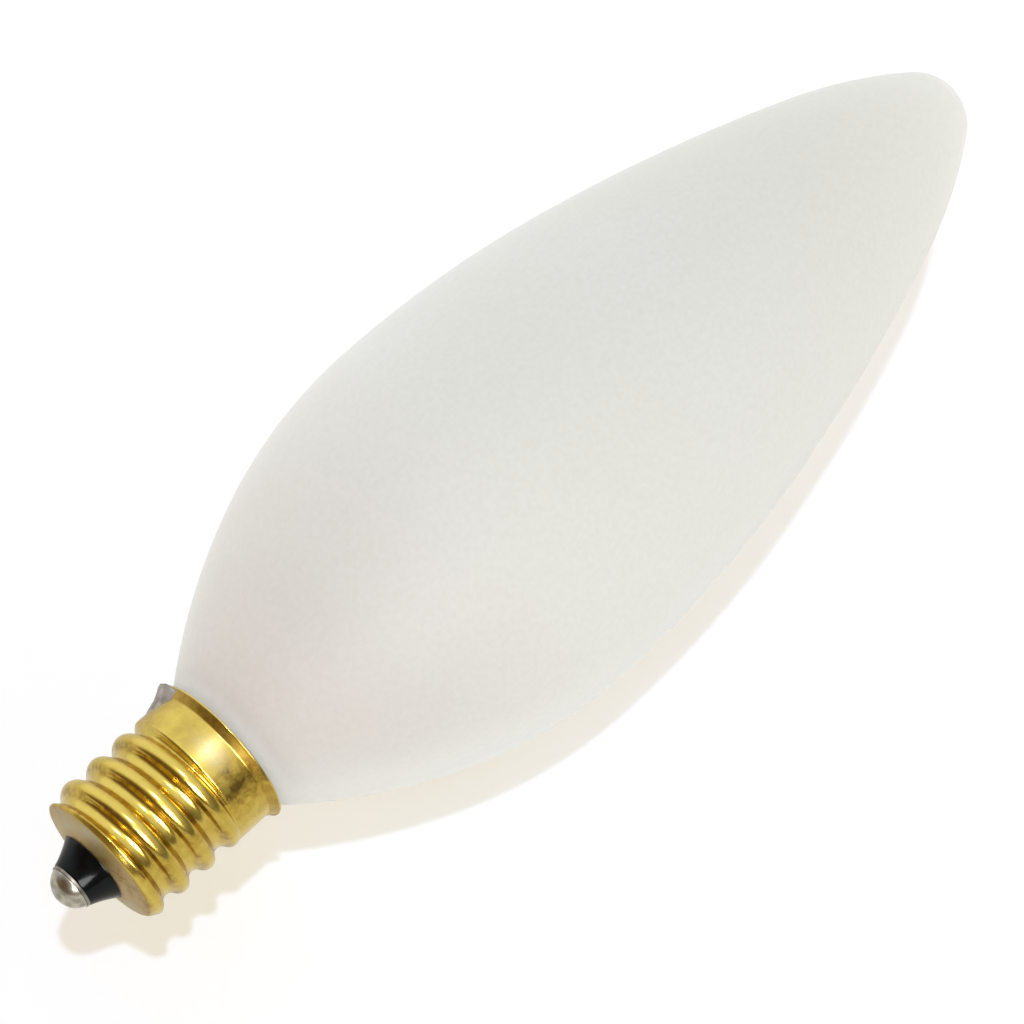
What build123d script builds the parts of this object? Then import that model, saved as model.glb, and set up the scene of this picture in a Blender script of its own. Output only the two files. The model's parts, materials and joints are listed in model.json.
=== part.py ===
from build123d import *
from math import cos, radians, sin, sqrt, tan
import os

# Frosted candle bulb with a small screw cap, lying on its side as it comes to rest.
# Stations are distances along the bulb's axis, from the end contact to the tip of the glass.

# Rest: the cap end hangs a little lower than the tip
rest_tilt = 4.0

# Glass envelope, a chain of tangent arcs on both sides of its widest place
belly_diameter = 31.75
belly_back_radius = 38.0
belly_back_angle = 23.0
mouth_angle = 39.75
belly_front_radius = 94.0
belly_front_angle = 11.5
taper_radius = 158.0
taper_angle = 8.0
nose_radius = 41.0
nose_angle = 14.5
neck_wall = 1.17
tip_wall = 0.4
neck_diameter = 9.4
neck_length = 3.1
seal_thickness = 4.2

# End contact, a solder dome on an eyelet
contact_height = 1.3
contact_foot_diameter = 3.6
eyelet_flange_diameter = 3.75
eyelet_flange_thickness = 0.2
eyelet_tube_diameter = 1.6
eyelet_bore = 0.8
eyelet_stand = 0.3

# Black glass insulator, a cone below the cap and a dished disc inside it
cone_height = 2.0
cone_nose_diameter = 3.9
cone_foot_diameter = 5.85
cone_hollow = 0.07
disc_height = 1.8
dish_depth = 0.7

# Screw cap, thin drawn brass with a rolled knuckle thread
shell_wall = 0.25
cap_length = 12.9
thread_major_diameter = 11.55
thread_depth = 0.75
thread_pitch = 2.54
thread_length = 9.5
thread_first_crest = 0.53
thread_segments = 3
thread_facets = 8
skirt_diameter = 11.35
skirt_lead = 0.5
rim_diameter = 12.4
rim_flare_length = 0.8
rim_edge_break = 0.1
flange_diameter = 10.35
flange_angle = 15.0
corner_radius = 0.35
corner_angle = 45.0

# Cement, lead wires and the drop of solder on the rim
cement_height = 1.3
lead_diameter = 0.3
lead_root_radius = 2.6
lead_drop = 0.55
lead_nib_reach = 0.6
solder_azimuth = -62.0
solder_top_drop = 0.2
solder_top_width = 5.2
solder_top_stand = 1.0
solder_waist_drop = 1.3
solder_waist_width = 3.2
solder_waist_stand = 0.42
solder_tail_drop = 2.5
solder_tail_width = 1.4
solder_tail_stand = 0.05

# Clearances
seat_gap = 0.03
mouth_gap = 0.575


# Radii and stations that follow from the sizes above
belly_reach = belly_diameter / 2
neck_reach = neck_diameter / 2
major_reach = thread_major_diameter / 2
skirt_reach = skirt_diameter / 2
rim_reach = rim_diameter / 2
foot_reach = cone_foot_diameter / 2
lead_reach = lead_diameter / 2
nose_station = contact_height + eyelet_flange_thickness
flange_station = nose_station + cone_height
thread_end = flange_station + thread_length
rim_station = flange_station + cap_length
flare_station = rim_station - rim_flare_length
neck_end = rim_station - neck_length
skirt_bore_reach = skirt_reach - shell_wall
mouth_reach = rim_reach - shell_wall - mouth_gap
ring_reach = (neck_reach + skirt_bore_reach) / 2

# Cap side of the glass: the shoulder's arc meets the cap's mouth at a given slope, and the throat's arc
# turns back from there to the neck
back_fall = belly_back_radius * (1 - cos(radians(belly_back_angle)))
shoulder_fall = belly_reach - back_fall - mouth_reach
shoulder_radius = shoulder_fall / (cos(radians(belly_back_angle)) - cos(radians(mouth_angle)))
shoulder_run = shoulder_radius * (sin(radians(mouth_angle)) - sin(radians(belly_back_angle)))
belly_station = rim_station + shoulder_run + belly_back_radius * sin(radians(belly_back_angle))
throat_radius = (mouth_reach - neck_reach) / (1 - cos(radians(mouth_angle)))

# Tip side of the glass: the arcs are added up, and the tip's own arc closes on the axis
front_arcs = (
    (belly_front_radius, belly_front_angle),
    (taper_radius, taper_angle),
    (nose_radius, nose_angle),
)
front_angle = 0.0
front_length = 0.0
front_reach = belly_reach
for arc_radius, arc_angle in front_arcs:
    next_angle = front_angle + arc_angle
    front_length += arc_radius * (sin(radians(next_angle)) - sin(radians(front_angle)))
    front_reach -= arc_radius * (cos(radians(front_angle)) - cos(radians(next_angle)))
    front_angle = next_angle
tip_radius = front_reach / cos(radians(front_angle))
front_length += tip_radius * (1 - sin(radians(front_angle)))
overall_length = belly_station + front_length

# End contact dome, an arc centred on the axis
contact_foot_reach = contact_foot_diameter / 2
contact_radius = (contact_foot_reach**2 + contact_height**2) / (2 * contact_height)

# Resting frame: the belly's arc touches the floor and the origin lies below the middle
axis_direction = Vector(cos(radians(rest_tilt)), 0, sin(radians(rest_tilt)))
arc_lift = belly_back_radius - belly_reach
rest_height = belly_back_radius - belly_station * sin(radians(rest_tilt)) - arc_lift * cos(radians(rest_tilt))
tip_end = (overall_length - tip_radius) * cos(radians(rest_tilt)) + tip_radius
contact_end = contact_radius * cos(radians(rest_tilt)) - contact_radius
bulb_origin = Vector(-(tip_end + contact_end) / 2, 0, rest_height)
bulb_axis = Axis(bulb_origin, axis_direction)


def axial_plane(azimuth, station=0.0):
    # Half-plane through the axis: local x is the station, local y the distance from the axis
    normal = Vector(0, -1, 0).rotate(bulb_axis, azimuth)
    return Plane(origin=bulb_origin + axis_direction * station, x_dir=axis_direction, z_dir=normal)


def inner_point(arc, share, inward):
    # Point of the hollow: the blown wall thins evenly from the neck to the tip
    outer = arc @ share
    wall_share = (outer.X - neck_end) / (overall_length - neck_end)
    wall = neck_wall + (tip_wall - neck_wall) * wall_share
    return outer + (arc % share).rotate(Axis.Z, inward) * wall


section = axial_plane(0)
lead_section = axial_plane(solder_azimuth)


def flange_face(reach, inset):
    # Station of the in-turned flange, a shallow cone, or of a surface set in from it
    slope = radians(flange_angle)
    return flange_station + (reach - foot_reach) * tan(slope) + inset / cos(slope)


def knuckle_outline(inset):
    # Wave of crests and roots along the axis, in flats with one on each crest and root,
    # closed below the roots and drawn a turn longer at both ends
    steps = thread_facets * (int(thread_length / thread_pitch) + 2)
    first_root = flange_station + thread_first_crest - 1.5 * thread_pitch
    middle_reach = major_reach - thread_depth / 2 - inset
    inner_reach = middle_reach - 1.5 * thread_depth
    swing = thread_depth / 2 / cos(radians(180 / thread_facets))
    wave = []
    for step in range(steps):
        turn = (step + 0.5) / thread_facets
        wave.append((first_root + thread_pitch * turn, middle_reach - swing * cos(radians(360 * turn))))
    with BuildLine() as outline:
        Polyline((wave[0][0], inner_reach), *wave, (wave[-1][0], inner_reach), close=True)
    return outline.line


def cap_form(inset, mouth_overrun):
    # Solid of the cap's outside, or of its hollow when set in by the wall
    core_reach = major_reach - 1.5 * thread_depth - inset
    thread_top = thread_end - inset
    lead_shift = inset * tan(radians(45 / 2))
    flare_slope = (rim_reach - skirt_reach) / rim_flare_length
    flare_inset = inset * sqrt(1 + flare_slope**2)
    flare_shift = (flare_inset - inset) / flare_slope
    mouth_station = rim_station + mouth_overrun
    mouth_end_reach = rim_reach - flare_inset + mouth_overrun * flare_slope
    helix_reach = major_reach - thread_depth
    face_reach = flange_diameter / 2 - inset * sin(radians(flange_angle))
    with BuildPart() as form:
        with BuildLine() as winding:
            Helix(thread_pitch, thread_pitch, helix_reach, center=bulb_origin, direction=axis_direction)
        for segment in range(thread_segments):
            start = segment / thread_segments
            arc_of_turn = winding.edge().trim(start, start + 1 / thread_segments)
            with BuildSketch(axial_plane(360 * start, thread_pitch * start)):
                make_face(knuckle_outline(inset).edges())
            sweep(path=arc_of_turn, is_frenet=True)
        with BuildSketch(section):
            with BuildLine():
                Polyline(
                    (flange_station, 0),
                    (flange_station, core_reach),
                    (thread_end - skirt_lead + lead_shift, core_reach),
                    (thread_end - skirt_lead + lead_shift, skirt_reach - skirt_lead - inset),
                    (thread_end + lead_shift, skirt_reach - inset),
                    (thread_end + lead_shift, 0),
                    close=True,
                )
            make_face()
        revolve(axis=bulb_axis)
        # Trim the wave above the thread, outside the core
        with BuildSketch(section):
            with BuildLine():
                Polyline(
                    (thread_top, core_reach),
                    (thread_top, 2 * major_reach),
                    (rim_station, 2 * major_reach),
                    (rim_station, core_reach),
                    close=True,
                )
            make_face()
        revolve(axis=bulb_axis, mode=Mode.SUBTRACT)
        # Skirt with its lead-in and the flared rim
        with BuildSketch(section):
            with BuildLine():
                Polyline(
                    (thread_end - skirt_lead + lead_shift, 0),
                    (thread_end - skirt_lead + lead_shift, skirt_reach - skirt_lead - inset),
                    (thread_end + lead_shift, skirt_reach - inset),
                    (flare_station + flare_shift, skirt_reach - inset),
                    (mouth_station, mouth_end_reach),
                    (mouth_station, 0),
                    close=True,
                )
            make_face()
        revolve(axis=bulb_axis)
        # In-turned flange and the tight corner between it and the thread
        with BuildSketch(section):
            with BuildLine():
                face = Line((flange_face(0, inset), 0), (flange_face(face_reach, inset), face_reach))
                corner = JernArc(face @ 1, face % 1, corner_radius - inset, -corner_angle)
                cone = Line(corner @ 1, corner @ 1 + (corner % 1) * major_reach)
                Polyline(cone @ 1, (-major_reach, (cone @ 1).Y), (-major_reach, 0), face @ 0)
            make_face()
        revolve(axis=bulb_axis, mode=Mode.SUBTRACT)
    return form.part


def side_lead_path():
    # From the seal out to the ring of cement, up to the rim and over it
    with BuildLine(lead_section) as path:
        Polyline(
            (neck_end, lead_root_radius),
            (neck_end - lead_drop, lead_root_radius),
            (neck_end - lead_drop, ring_reach),
            (neck_end + cement_height, ring_reach),
            (rim_station + lead_reach, rim_reach),
            (rim_station - lead_reach, rim_reach + lead_nib_reach),
        )
    return path.line


cap_outside = cap_form(0, 0)
cap_hollow = cap_form(shell_wall, rim_flare_length)
lead_line = side_lead_path()
lead_start = Plane(origin=lead_line @ 0, z_dir=lead_line % 0)

# Glass envelope, sealed at the neck
with BuildPart() as glass_bulb:
    with BuildSketch(section):
        with BuildLine():
            belly_point = Vector(belly_station, belly_reach)
            back = JernArc(belly_point, (-1, 0), belly_back_radius, belly_back_angle)
            shoulder = JernArc(back @ 1, back % 1, shoulder_radius, mouth_angle - belly_back_angle)
            throat = JernArc(shoulder @ 1, shoulder % 1, throat_radius, -mouth_angle)
            front = JernArc(belly_point, (1, 0), belly_front_radius, -belly_front_angle)
            taper = JernArc(front @ 1, front % 1, taper_radius, -taper_angle)
            nose = JernArc(taper @ 1, taper % 1, nose_radius, -nose_angle)
            tip = JernArc(nose @ 1, nose % 1, tip_radius, front_angle - 90)
            Polyline(throat @ 1, (neck_end, neck_reach), (neck_end, 0), tip @ 1)
        make_face()
    revolve(axis=bulb_axis)
    # The hollow can't be seen, and is drawn a wall inside the arcs in straight stretches
    with BuildSketch(section):
        with BuildLine():
            hollow = [(neck_end + seal_thickness, 0)]
            for arc in (shoulder, back):
                hollow += [inner_point(arc, share, 90) for share in (1, 0.5)]
            for arc in (front, taper, nose, tip):
                hollow += [inner_point(arc, share, -90) for share in (0, 0.5)]
            Polyline(*hollow, (overall_length - tip_wall, 0), close=True)
        make_face()
    revolve(axis=bulb_axis, mode=Mode.SUBTRACT)

# Brass screw shell, nicked at the rim where the side lead comes out
with BuildPart() as screw_shell:
    add(cap_outside)
    add(cap_hollow, mode=Mode.SUBTRACT)
    with BuildSketch(section):
        with BuildLine():
            Polyline(
                (0, 0),
                (0, foot_reach + seat_gap),
                (flange_station + 2 * shell_wall, foot_reach + seat_gap),
                (flange_station + 2 * shell_wall, 0),
                close=True,
            )
        make_face()
    revolve(axis=bulb_axis, mode=Mode.SUBTRACT)
    chamfer(screw_shell.edges().filter_by(GeomType.CIRCLE).sort_by(SortBy.RADIUS)[-1], length=rim_edge_break)
    with BuildSketch(lead_start):
        Circle(lead_reach + seat_gap)
    sweep(path=lead_line, transition=Transition.RIGHT, mode=Mode.SUBTRACT)

# Black glass insulator
with BuildPart() as base_insulator:
    with BuildSketch(section):
        disc_station = flange_face(foot_reach, shell_wall + seat_gap)
        disc_reach = major_reach - thread_depth - shell_wall - seat_gap
        disc_top = disc_station + disc_height
        bore_reach = eyelet_tube_diameter / 2 + seat_gap
        nose_reach = cone_nose_diameter / 2
        with BuildLine():
            Line((nose_station, bore_reach), (nose_station, nose_reach))
            SagittaArc((nose_station, nose_reach), (flange_station, foot_reach), -cone_hollow)
            Polyline(
                (flange_station, foot_reach),
                (disc_station, foot_reach),
                (flange_face(disc_reach, shell_wall + seat_gap), disc_reach),
                (disc_top, disc_reach),
                (disc_top - dish_depth, foot_reach),
                (disc_top - dish_depth, bore_reach),
                (nose_station, bore_reach),
            )
        make_face()
    revolve(axis=bulb_axis)

# Brass eyelet that carries the end contact
with BuildPart() as contact_eyelet:
    with BuildSketch(section):
        with BuildLine():
            Polyline(
                (contact_height, eyelet_bore / 2),
                (contact_height, eyelet_flange_diameter / 2),
                (nose_station, eyelet_flange_diameter / 2),
                (nose_station, eyelet_tube_diameter / 2),
                (disc_top - dish_depth + eyelet_stand, eyelet_tube_diameter / 2),
                (disc_top - dish_depth + eyelet_stand, eyelet_bore / 2),
                close=True,
            )
        make_face()
    revolve(axis=bulb_axis)

# Lead wire to the end contact
with BuildPart() as centre_lead:
    with BuildSketch(section):
        with BuildLine():
            Polyline(
                (contact_height / 2, 0),
                (contact_height / 2, lead_reach),
                (neck_end, lead_reach),
                (neck_end, 0),
                close=True,
            )
        make_face()
    revolve(axis=bulb_axis)

# Solder dome of the end contact
with BuildPart() as contact_solder:
    with BuildSketch(section):
        with BuildLine():
            dome = RadiusArc((0, 0), (contact_height, contact_foot_reach), contact_radius)
            Polyline(dome @ 1, (contact_height, 0), dome @ 0)
        make_face()
    revolve(axis=bulb_axis)
    add(centre_lead.part, mode=Mode.SUBTRACT)

# Lead wire that is bent over the rim
with BuildPart() as side_lead:
    with BuildSketch(lead_start):
        Circle(lead_reach)
    sweep(path=lead_line, transition=Transition.RIGHT)

# Cement ring between the neck and the skirt
with BuildPart() as base_cement:
    with BuildSketch(section):
        with BuildLine():
            Polyline(
                (neck_end, neck_reach),
                (neck_end, skirt_bore_reach - seat_gap),
                (neck_end + cement_height, skirt_bore_reach - seat_gap),
                (neck_end + cement_height, neck_reach),
                close=True,
            )
        make_face()
    revolve(axis=bulb_axis)
    add(glass_bulb.part, mode=Mode.SUBTRACT)
    with BuildSketch(lead_start):
        Circle(lead_reach + seat_gap)
    sweep(path=lead_line, transition=Transition.RIGHT, mode=Mode.SUBTRACT)

# Drop of solder below the rim, broad at the flare and drawn down the skirt to a narrow tail
with BuildPart() as rim_solder:
    for drop, width, stand in (
        (solder_tail_drop, solder_tail_width, solder_tail_stand),
        (solder_waist_drop, solder_waist_width, solder_waist_stand),
        (solder_top_drop, solder_top_width, solder_top_stand),
    ):
        middle_reach = sqrt(skirt_reach**2 - (width / 2) ** 2)
        centre = lead_section.from_local_coords(Vector(rim_station - drop, middle_reach))
        with BuildSketch(Plane(origin=centre, x_dir=lead_section.y_dir, z_dir=axis_direction)):
            Ellipse(skirt_reach + stand - middle_reach, width / 2)
    loft()
    add(cap_outside, mode=Mode.SUBTRACT)
    add(side_lead.part, mode=Mode.SUBTRACT)

pieces = {
    "glass_bulb": glass_bulb,
    "screw_shell": screw_shell,
    "base_insulator": base_insulator,
    "contact_eyelet": contact_eyelet,
    "contact_solder": contact_solder,
    "centre_lead": centre_lead,
    "side_lead": side_lead,
    "base_cement": base_cement,
    "rim_solder": rim_solder,
}
os.makedirs("parts", exist_ok=True)
for name, piece in pieces.items():
    piece.part.label = name
    export_step(piece.part, f"parts/{name}.step")
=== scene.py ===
import json
from math import asin, cos, degrees, exp, pi, radians, sin, sqrt, tan
import bmesh
import bpy
from mathutils import Matrix, Vector, noise


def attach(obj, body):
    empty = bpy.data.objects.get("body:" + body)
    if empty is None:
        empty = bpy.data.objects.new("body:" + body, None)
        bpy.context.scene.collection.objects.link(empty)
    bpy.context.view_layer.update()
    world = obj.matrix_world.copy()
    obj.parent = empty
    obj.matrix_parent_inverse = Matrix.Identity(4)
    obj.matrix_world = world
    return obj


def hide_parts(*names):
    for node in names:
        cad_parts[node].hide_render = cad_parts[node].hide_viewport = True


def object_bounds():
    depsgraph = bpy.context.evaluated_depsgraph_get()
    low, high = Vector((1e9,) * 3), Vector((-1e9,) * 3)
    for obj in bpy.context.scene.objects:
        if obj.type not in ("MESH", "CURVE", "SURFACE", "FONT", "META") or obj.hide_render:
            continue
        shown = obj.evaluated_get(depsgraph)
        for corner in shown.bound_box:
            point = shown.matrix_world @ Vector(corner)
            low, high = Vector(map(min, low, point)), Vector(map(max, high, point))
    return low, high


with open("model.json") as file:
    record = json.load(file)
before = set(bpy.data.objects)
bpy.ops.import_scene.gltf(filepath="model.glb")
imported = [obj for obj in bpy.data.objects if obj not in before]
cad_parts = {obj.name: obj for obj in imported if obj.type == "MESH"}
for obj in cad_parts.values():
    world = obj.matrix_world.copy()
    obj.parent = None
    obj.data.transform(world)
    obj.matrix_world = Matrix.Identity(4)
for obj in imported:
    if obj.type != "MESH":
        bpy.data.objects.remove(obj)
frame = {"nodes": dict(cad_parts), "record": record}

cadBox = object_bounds()
mm = 0.001
scene = bpy.context.scene
scene.view_settings.view_transform = "Standard"

# The bulb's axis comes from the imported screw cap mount
# Stations run along it in mm, from the contact to the tip
cap = {"flange": 3.5, "threadEnd": 13.0, "rim": 16.4, "pitch": 2.54, "firstCrest": 4.03}
mount = frame["record"]["mounts"][0]
along = -Vector(mount["axis"]).normalized()
upright = Vector((-along.z, 0, along.x))
sideways = along.cross(upright)
start = Vector(mount["pos_m"]) - along * (cap["flange"] + cap["threadEnd"]) / 2 * mm


def place(station, reach, azimuth=0.0):
    a = radians(azimuth)  # 0 is up, and it grows right-handed about the axis
    return start + (along * station + (upright * cos(a) + sideways * sin(a)) * reach) * mm


def hexColor(text):
    channels = [int(text[i:i + 2], 16) / 255 for i in (1, 3, 5)]
    return (*[c / 12.92 if c <= 0.04045 else ((c + 0.055) / 1.055) ** 2.4 for c in channels], 1)


def addNode(tree, kind, settings=None, links=None):
    # settings go to attributes or, where there is none of that name, to input sockets
    node = tree.nodes.new(kind)
    for key, value in (settings or {}).items():
        if isinstance(key, str) and hasattr(node, key):
            setattr(node, key, value)
        else:
            node.inputs[key].default_value = value
    for key, socket in (links or {}).items():
        tree.links.new(socket, node.inputs[key])
    return node


eased = {"interpolation_type": "SMOOTHSTEP"}
mixFac, mixA, mixB, mixOut = 0, 6, 7, 2  # sockets of a Mix node that is set to colors


def setRamp(node, stops):
    ramp = node.color_ramp
    while len(ramp.elements) < len(stops):
        ramp.elements.new(0.5)
    for element, (position, color) in zip(ramp.elements, stops):
        element.position = position
        element.color = hexColor(color)


def newMaterial(name):
    material = bpy.data.materials.new(name)
    material.use_nodes = True
    material.node_tree.nodes.clear()
    return material, material.node_tree


def newPiece(name, points, faces):
    mesh = bpy.data.meshes.new(name)
    mesh.from_pydata(points, [], faces)
    mesh.update()
    mesh.shade_smooth()
    piece = bpy.data.objects.new(name, mesh)
    scene.collection.objects.link(piece)
    return piece


def ringFaces(rows, columns, closed=False):
    # quads between rings of points that run round the axis; closed joins the last ring to the first
    faces = []
    for r in range(rows if closed else rows - 1):
        low, high = r * columns, (r + 1) % rows * columns
        for c in range(columns):
            d = (c + 1) % columns
            faces.append((low + c, low + d, high + d, high + c))
    return faces


def weldPoles(piece):
    mesh = bmesh.new()
    mesh.from_mesh(piece.data)
    bmesh.ops.remove_doubles(mesh, verts=mesh.verts, dist=1e-8)
    mesh.to_mesh(piece.data)
    mesh.free()


def lathe(name, profile, segments, ripple=None, closed=False):
    # profile: (station, reach) points; a ring of zero reach closes an end
    points = []
    for station, reach in profile:
        for i in range(segments):
            azimuth = 360 * i / segments
            extra = ripple(station, reach, azimuth) if ripple and reach > 0 else 0.0
            points.append(place(station, reach + extra, azimuth))
    piece = newPiece(name, points, ringFaces(len(profile), segments, closed))
    weldPoles(piece)
    return piece


def dress(piece, material, node):
    piece.data.materials.append(material)
    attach(piece, "root")
    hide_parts(node)


def arcPoints(centre, radius, fromAngle, toAngle, count):
    # (station, reach) points of an arc, angles in degrees from the axis
    angles = [radians(fromAngle + (toAngle - fromAngle) * i / count) for i in range(count + 1)]
    return [(centre[0] + radius * cos(a), centre[1] + radius * sin(a)) for a in angles]


def smoothStep(low, high, value):
    t = min(max((value - low) / (high - low), 0), 1)
    return t * t * (3 - 2 * t)


def softMin(a, b, width):
    h = max(width - abs(a - b), 0) / width
    return min(a, b) - h * h * width / 4


print("frame ready")

# Frosted envelope, the same chain of tangent arcs as the solid, drawn finely; sizes in mm
glass = {
    "bellyDiameter": 31.75,
    "backRadius": 38.0, "backAngle": 23.0,
    "mouthReach": 5.375, "mouthAngle": 39.75,
    "frontArcs": ((94.0, 11.5), (158.0, 8.0), (41.0, 14.5)),  # radius, degrees turned
    "neckReach": 4.7, "neckEnd": 13.3,
    "segments": 224, "arcSteps": 26,
    "etchGrain": 0.45, "grainTones": ((0.3, "#FAFAF9"), (0.7, "#FFFFFF")),
    "cloud": 24.0, "cloudTones": ((0.38, "#DEDED9"), (0.58, "#DFDFDC")),
    # painted shade of the unseen mount on the glass above the cap
    "mountShade": "#CEC4BE", "shadeAlong": (-34, -4), "shadeHeight": (12, 22), "shadeAmount": (0.2, 0.78),
    "tipTone": "#D7D7D1", "tipAlong": (-5, 45),
    # painted light from the floor, low on the glass
    "glowTone": "#FAFDFF", "glowHeight": (9, 18), "floorGlow": 0.5,
    # painted light where the glass goes into the rim
    "leakTone": "#FFFFFF", "leak": 1.5, "leakAmount": 0.8,
    "speckTone": "#8A867E", "speckSpacing": 8.0, "speckReach": (0.096, 0.16), "speckAmount": 0.35,
    "wander": 14.0, "sheen": 0.5,
}


def glassProfile():
    g, steps = glass, glass["arcSteps"]
    belly = g["bellyDiameter"] / 2
    back, mouth = radians(g["backAngle"]), radians(g["mouthAngle"])
    fall = belly - g["mouthReach"] - g["backRadius"] * (1 - cos(back))
    shoulder = fall / (cos(back) - cos(mouth))
    bellyStation = cap["rim"] + shoulder * (sin(mouth) - sin(back)) + g["backRadius"] * sin(back)
    throat = (g["mouthReach"] - g["neckReach"]) / (1 - cos(mouth))
    throatCentre = (cap["rim"] - throat * sin(mouth), g["neckReach"] + throat)
    centre = Vector((bellyStation, belly - g["backRadius"]))
    shoulderCentre = centre + Vector((-sin(back), cos(back))) * (g["backRadius"] - shoulder)
    points = [(g["neckEnd"], 0.0), (g["neckEnd"], g["neckReach"])]
    points += arcPoints(throatCentre, throat, -90, -90 + g["mouthAngle"], steps)
    points += arcPoints(shoulderCentre, shoulder, 90 + g["mouthAngle"], 90 + g["backAngle"], steps)[1:]
    points += arcPoints(centre, g["backRadius"], 90 + g["backAngle"], 90, steps)[1:]
    turned, radius = 0.0, g["backRadius"]
    for nextRadius, turn in g["frontArcs"]:
        a = radians(turned)
        centre = centre + Vector((sin(a), cos(a))) * (radius - nextRadius)
        points += arcPoints(centre, nextRadius, 90 - turned, 90 - turned - turn, steps)[1:]
        turned, radius = turned + turn, nextRadius
    tip = points[-1][1] / cos(radians(turned))
    tipCentre = (points[-1][0] - tip * sin(radians(turned)), 0.0)
    points += arcPoints(tipCentre, tip, 90 - turned, 0, steps)[1:-1] + [(tipCentre[0] + tip, 0.0)]
    return points


def makeAcidEtchedGlass():
    # Soda-lime glass etched in acid: matte white that lets light wander inside, fine grain, a few specks
    g = glass
    material, tree = newMaterial("acidEtchedGlass")
    where = addNode(tree, "ShaderNodeTexCoord").outputs["Object"]
    split = addNode(tree, "ShaderNodeSeparateXYZ", links={0: where})
    grain = addNode(tree, "ShaderNodeTexNoise", {"Scale": 1 / (g["etchGrain"] * mm), "Detail": 3.0},
                    {"Vector": where})
    cloud = addNode(tree, "ShaderNodeTexNoise", {"Scale": 1 / (g["cloud"] * mm), "Detail": 2.0},
                    {"Vector": where})
    tint = addNode(tree, "ShaderNodeValToRGB", links={"Fac": cloud.outputs["Fac"]})
    setRamp(tint, g["cloudTones"])
    # painted shade: the glass above the cap is greyed where the unseen mount would shade it, most on top, where
    # the floor doesn't light it through
    height = addNode(tree, "ShaderNodeMapRange",
                     {**eased, "From Min": g["shadeHeight"][0] * mm, "From Max": g["shadeHeight"][1] * mm,
                      "To Min": g["shadeAmount"][0], "To Max": g["shadeAmount"][1]},
                     {"Value": split.outputs["Z"]})
    shadeNearCap = addNode(tree, "ShaderNodeMapRange",
                      {**eased, "From Min": g["shadeAlong"][0] * mm, "From Max": g["shadeAlong"][1] * mm,
                       "To Max": 0.0},
                      {"Value": split.outputs["X"], "To Min": height.outputs["Result"]})
    greyed = addNode(tree, "ShaderNodeMix", {"data_type": "RGBA", mixB: hexColor(g["mountShade"])},
                     {mixFac: shadeNearCap.outputs["Result"], mixA: tint.outputs["Color"]})
    nearTip = addNode(tree, "ShaderNodeMapRange",
                      {**eased, "From Min": g["tipAlong"][0] * mm, "From Max": g["tipAlong"][1] * mm},
                      {"Value": split.outputs["X"]})
    tipped = addNode(tree, "ShaderNodeMix", {"data_type": "RGBA", mixB: hexColor(g["tipTone"])},
                     {mixFac: nearTip.outputs["Result"], mixA: greyed.outputs[mixOut]})
    # painted light: the glass is whitened low on its sides, where the bright floor would shine through
    low = addNode(tree, "ShaderNodeMapRange",
                  {**eased, "From Min": g["glowHeight"][0] * mm, "From Max": g["glowHeight"][1] * mm,
                   "To Min": g["floorGlow"], "To Max": 0.0}, {"Value": split.outputs["Z"]})
    glowing = addNode(tree, "ShaderNodeMix", {"data_type": "RGBA", mixB: hexColor(g["glowTone"])},
                      {mixFac: low.outputs["Result"], mixA: tipped.outputs[mixOut]})
    # painted light: the glass is whitened where it goes into the rim, where light would leak out
    axial = addNode(tree, "ShaderNodeVectorMath", {"operation": "DOT_PRODUCT", 1: along}, {0: where})
    rimAt = start.dot(along) + cap["rim"] * mm
    nearRim = addNode(tree, "ShaderNodeMapRange",
                      {**eased, "From Min": rimAt, "From Max": rimAt + g["leak"] * mm,
                       "To Min": g["leakAmount"], "To Max": 0.0}, {"Value": axial.outputs["Value"]})
    leaked = addNode(tree, "ShaderNodeMix", {"data_type": "RGBA", mixB: hexColor(g["leakTone"])},
                     {mixFac: nearRim.outputs["Result"], mixA: glowing.outputs[mixOut]})
    grainTone = addNode(tree, "ShaderNodeValToRGB", links={"Fac": grain.outputs["Fac"]})
    setRamp(grainTone, g["grainTones"])
    grained = addNode(tree, "ShaderNodeMix", {"data_type": "RGBA", "blend_type": "MULTIPLY", mixFac: 1.0},
                      {mixA: leaked.outputs[mixOut], mixB: grainTone.outputs["Color"]})
    # the specks are drawn a little larger than real ones so that they show
    cells = addNode(tree, "ShaderNodeTexVoronoi", {"Scale": 1 / (g["speckSpacing"] * mm)}, {"Vector": where})
    speck = addNode(tree, "ShaderNodeMapRange",
                    {"From Min": g["speckReach"][0] / g["speckSpacing"],
                     "From Max": g["speckReach"][1] / g["speckSpacing"],
                     "To Min": g["speckAmount"], "To Max": 0.0}, {"Value": cells.outputs["Distance"]})
    color = addNode(tree, "ShaderNodeMix", {"data_type": "RGBA", mixB: hexColor(g["speckTone"])},
                    {mixFac: speck.outputs["Result"], mixA: grained.outputs[mixOut]})
    bump = addNode(tree, "ShaderNodeBump", {"Strength": 0.08, "Distance": 0.02 * mm},
                   {"Height": grain.outputs["Fac"]})
    shader = addNode(tree, "ShaderNodeBsdfPrincipled",
                     {"Roughness": 0.6, "IOR": 1.52, "Specular IOR Level": 0.35, "Subsurface Weight": 0.9,
                      "Subsurface Radius": (1, 1, 1), "Subsurface Scale": g["wander"] * mm,
                      "Sheen Weight": g["sheen"], "Sheen Roughness": 0.6},
                     {"Base Color": color.outputs[mixOut], "Normal": bump.outputs["Normal"]})
    addNode(tree, "ShaderNodeOutputMaterial", links={"Surface": shader.outputs[0]})
    return material


envelope = lathe("frostedEnvelope", glassProfile(), glass["segments"])
dress(envelope, makeAcidEtchedGlass(), "glass_bulb")
print("glass done")

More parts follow.
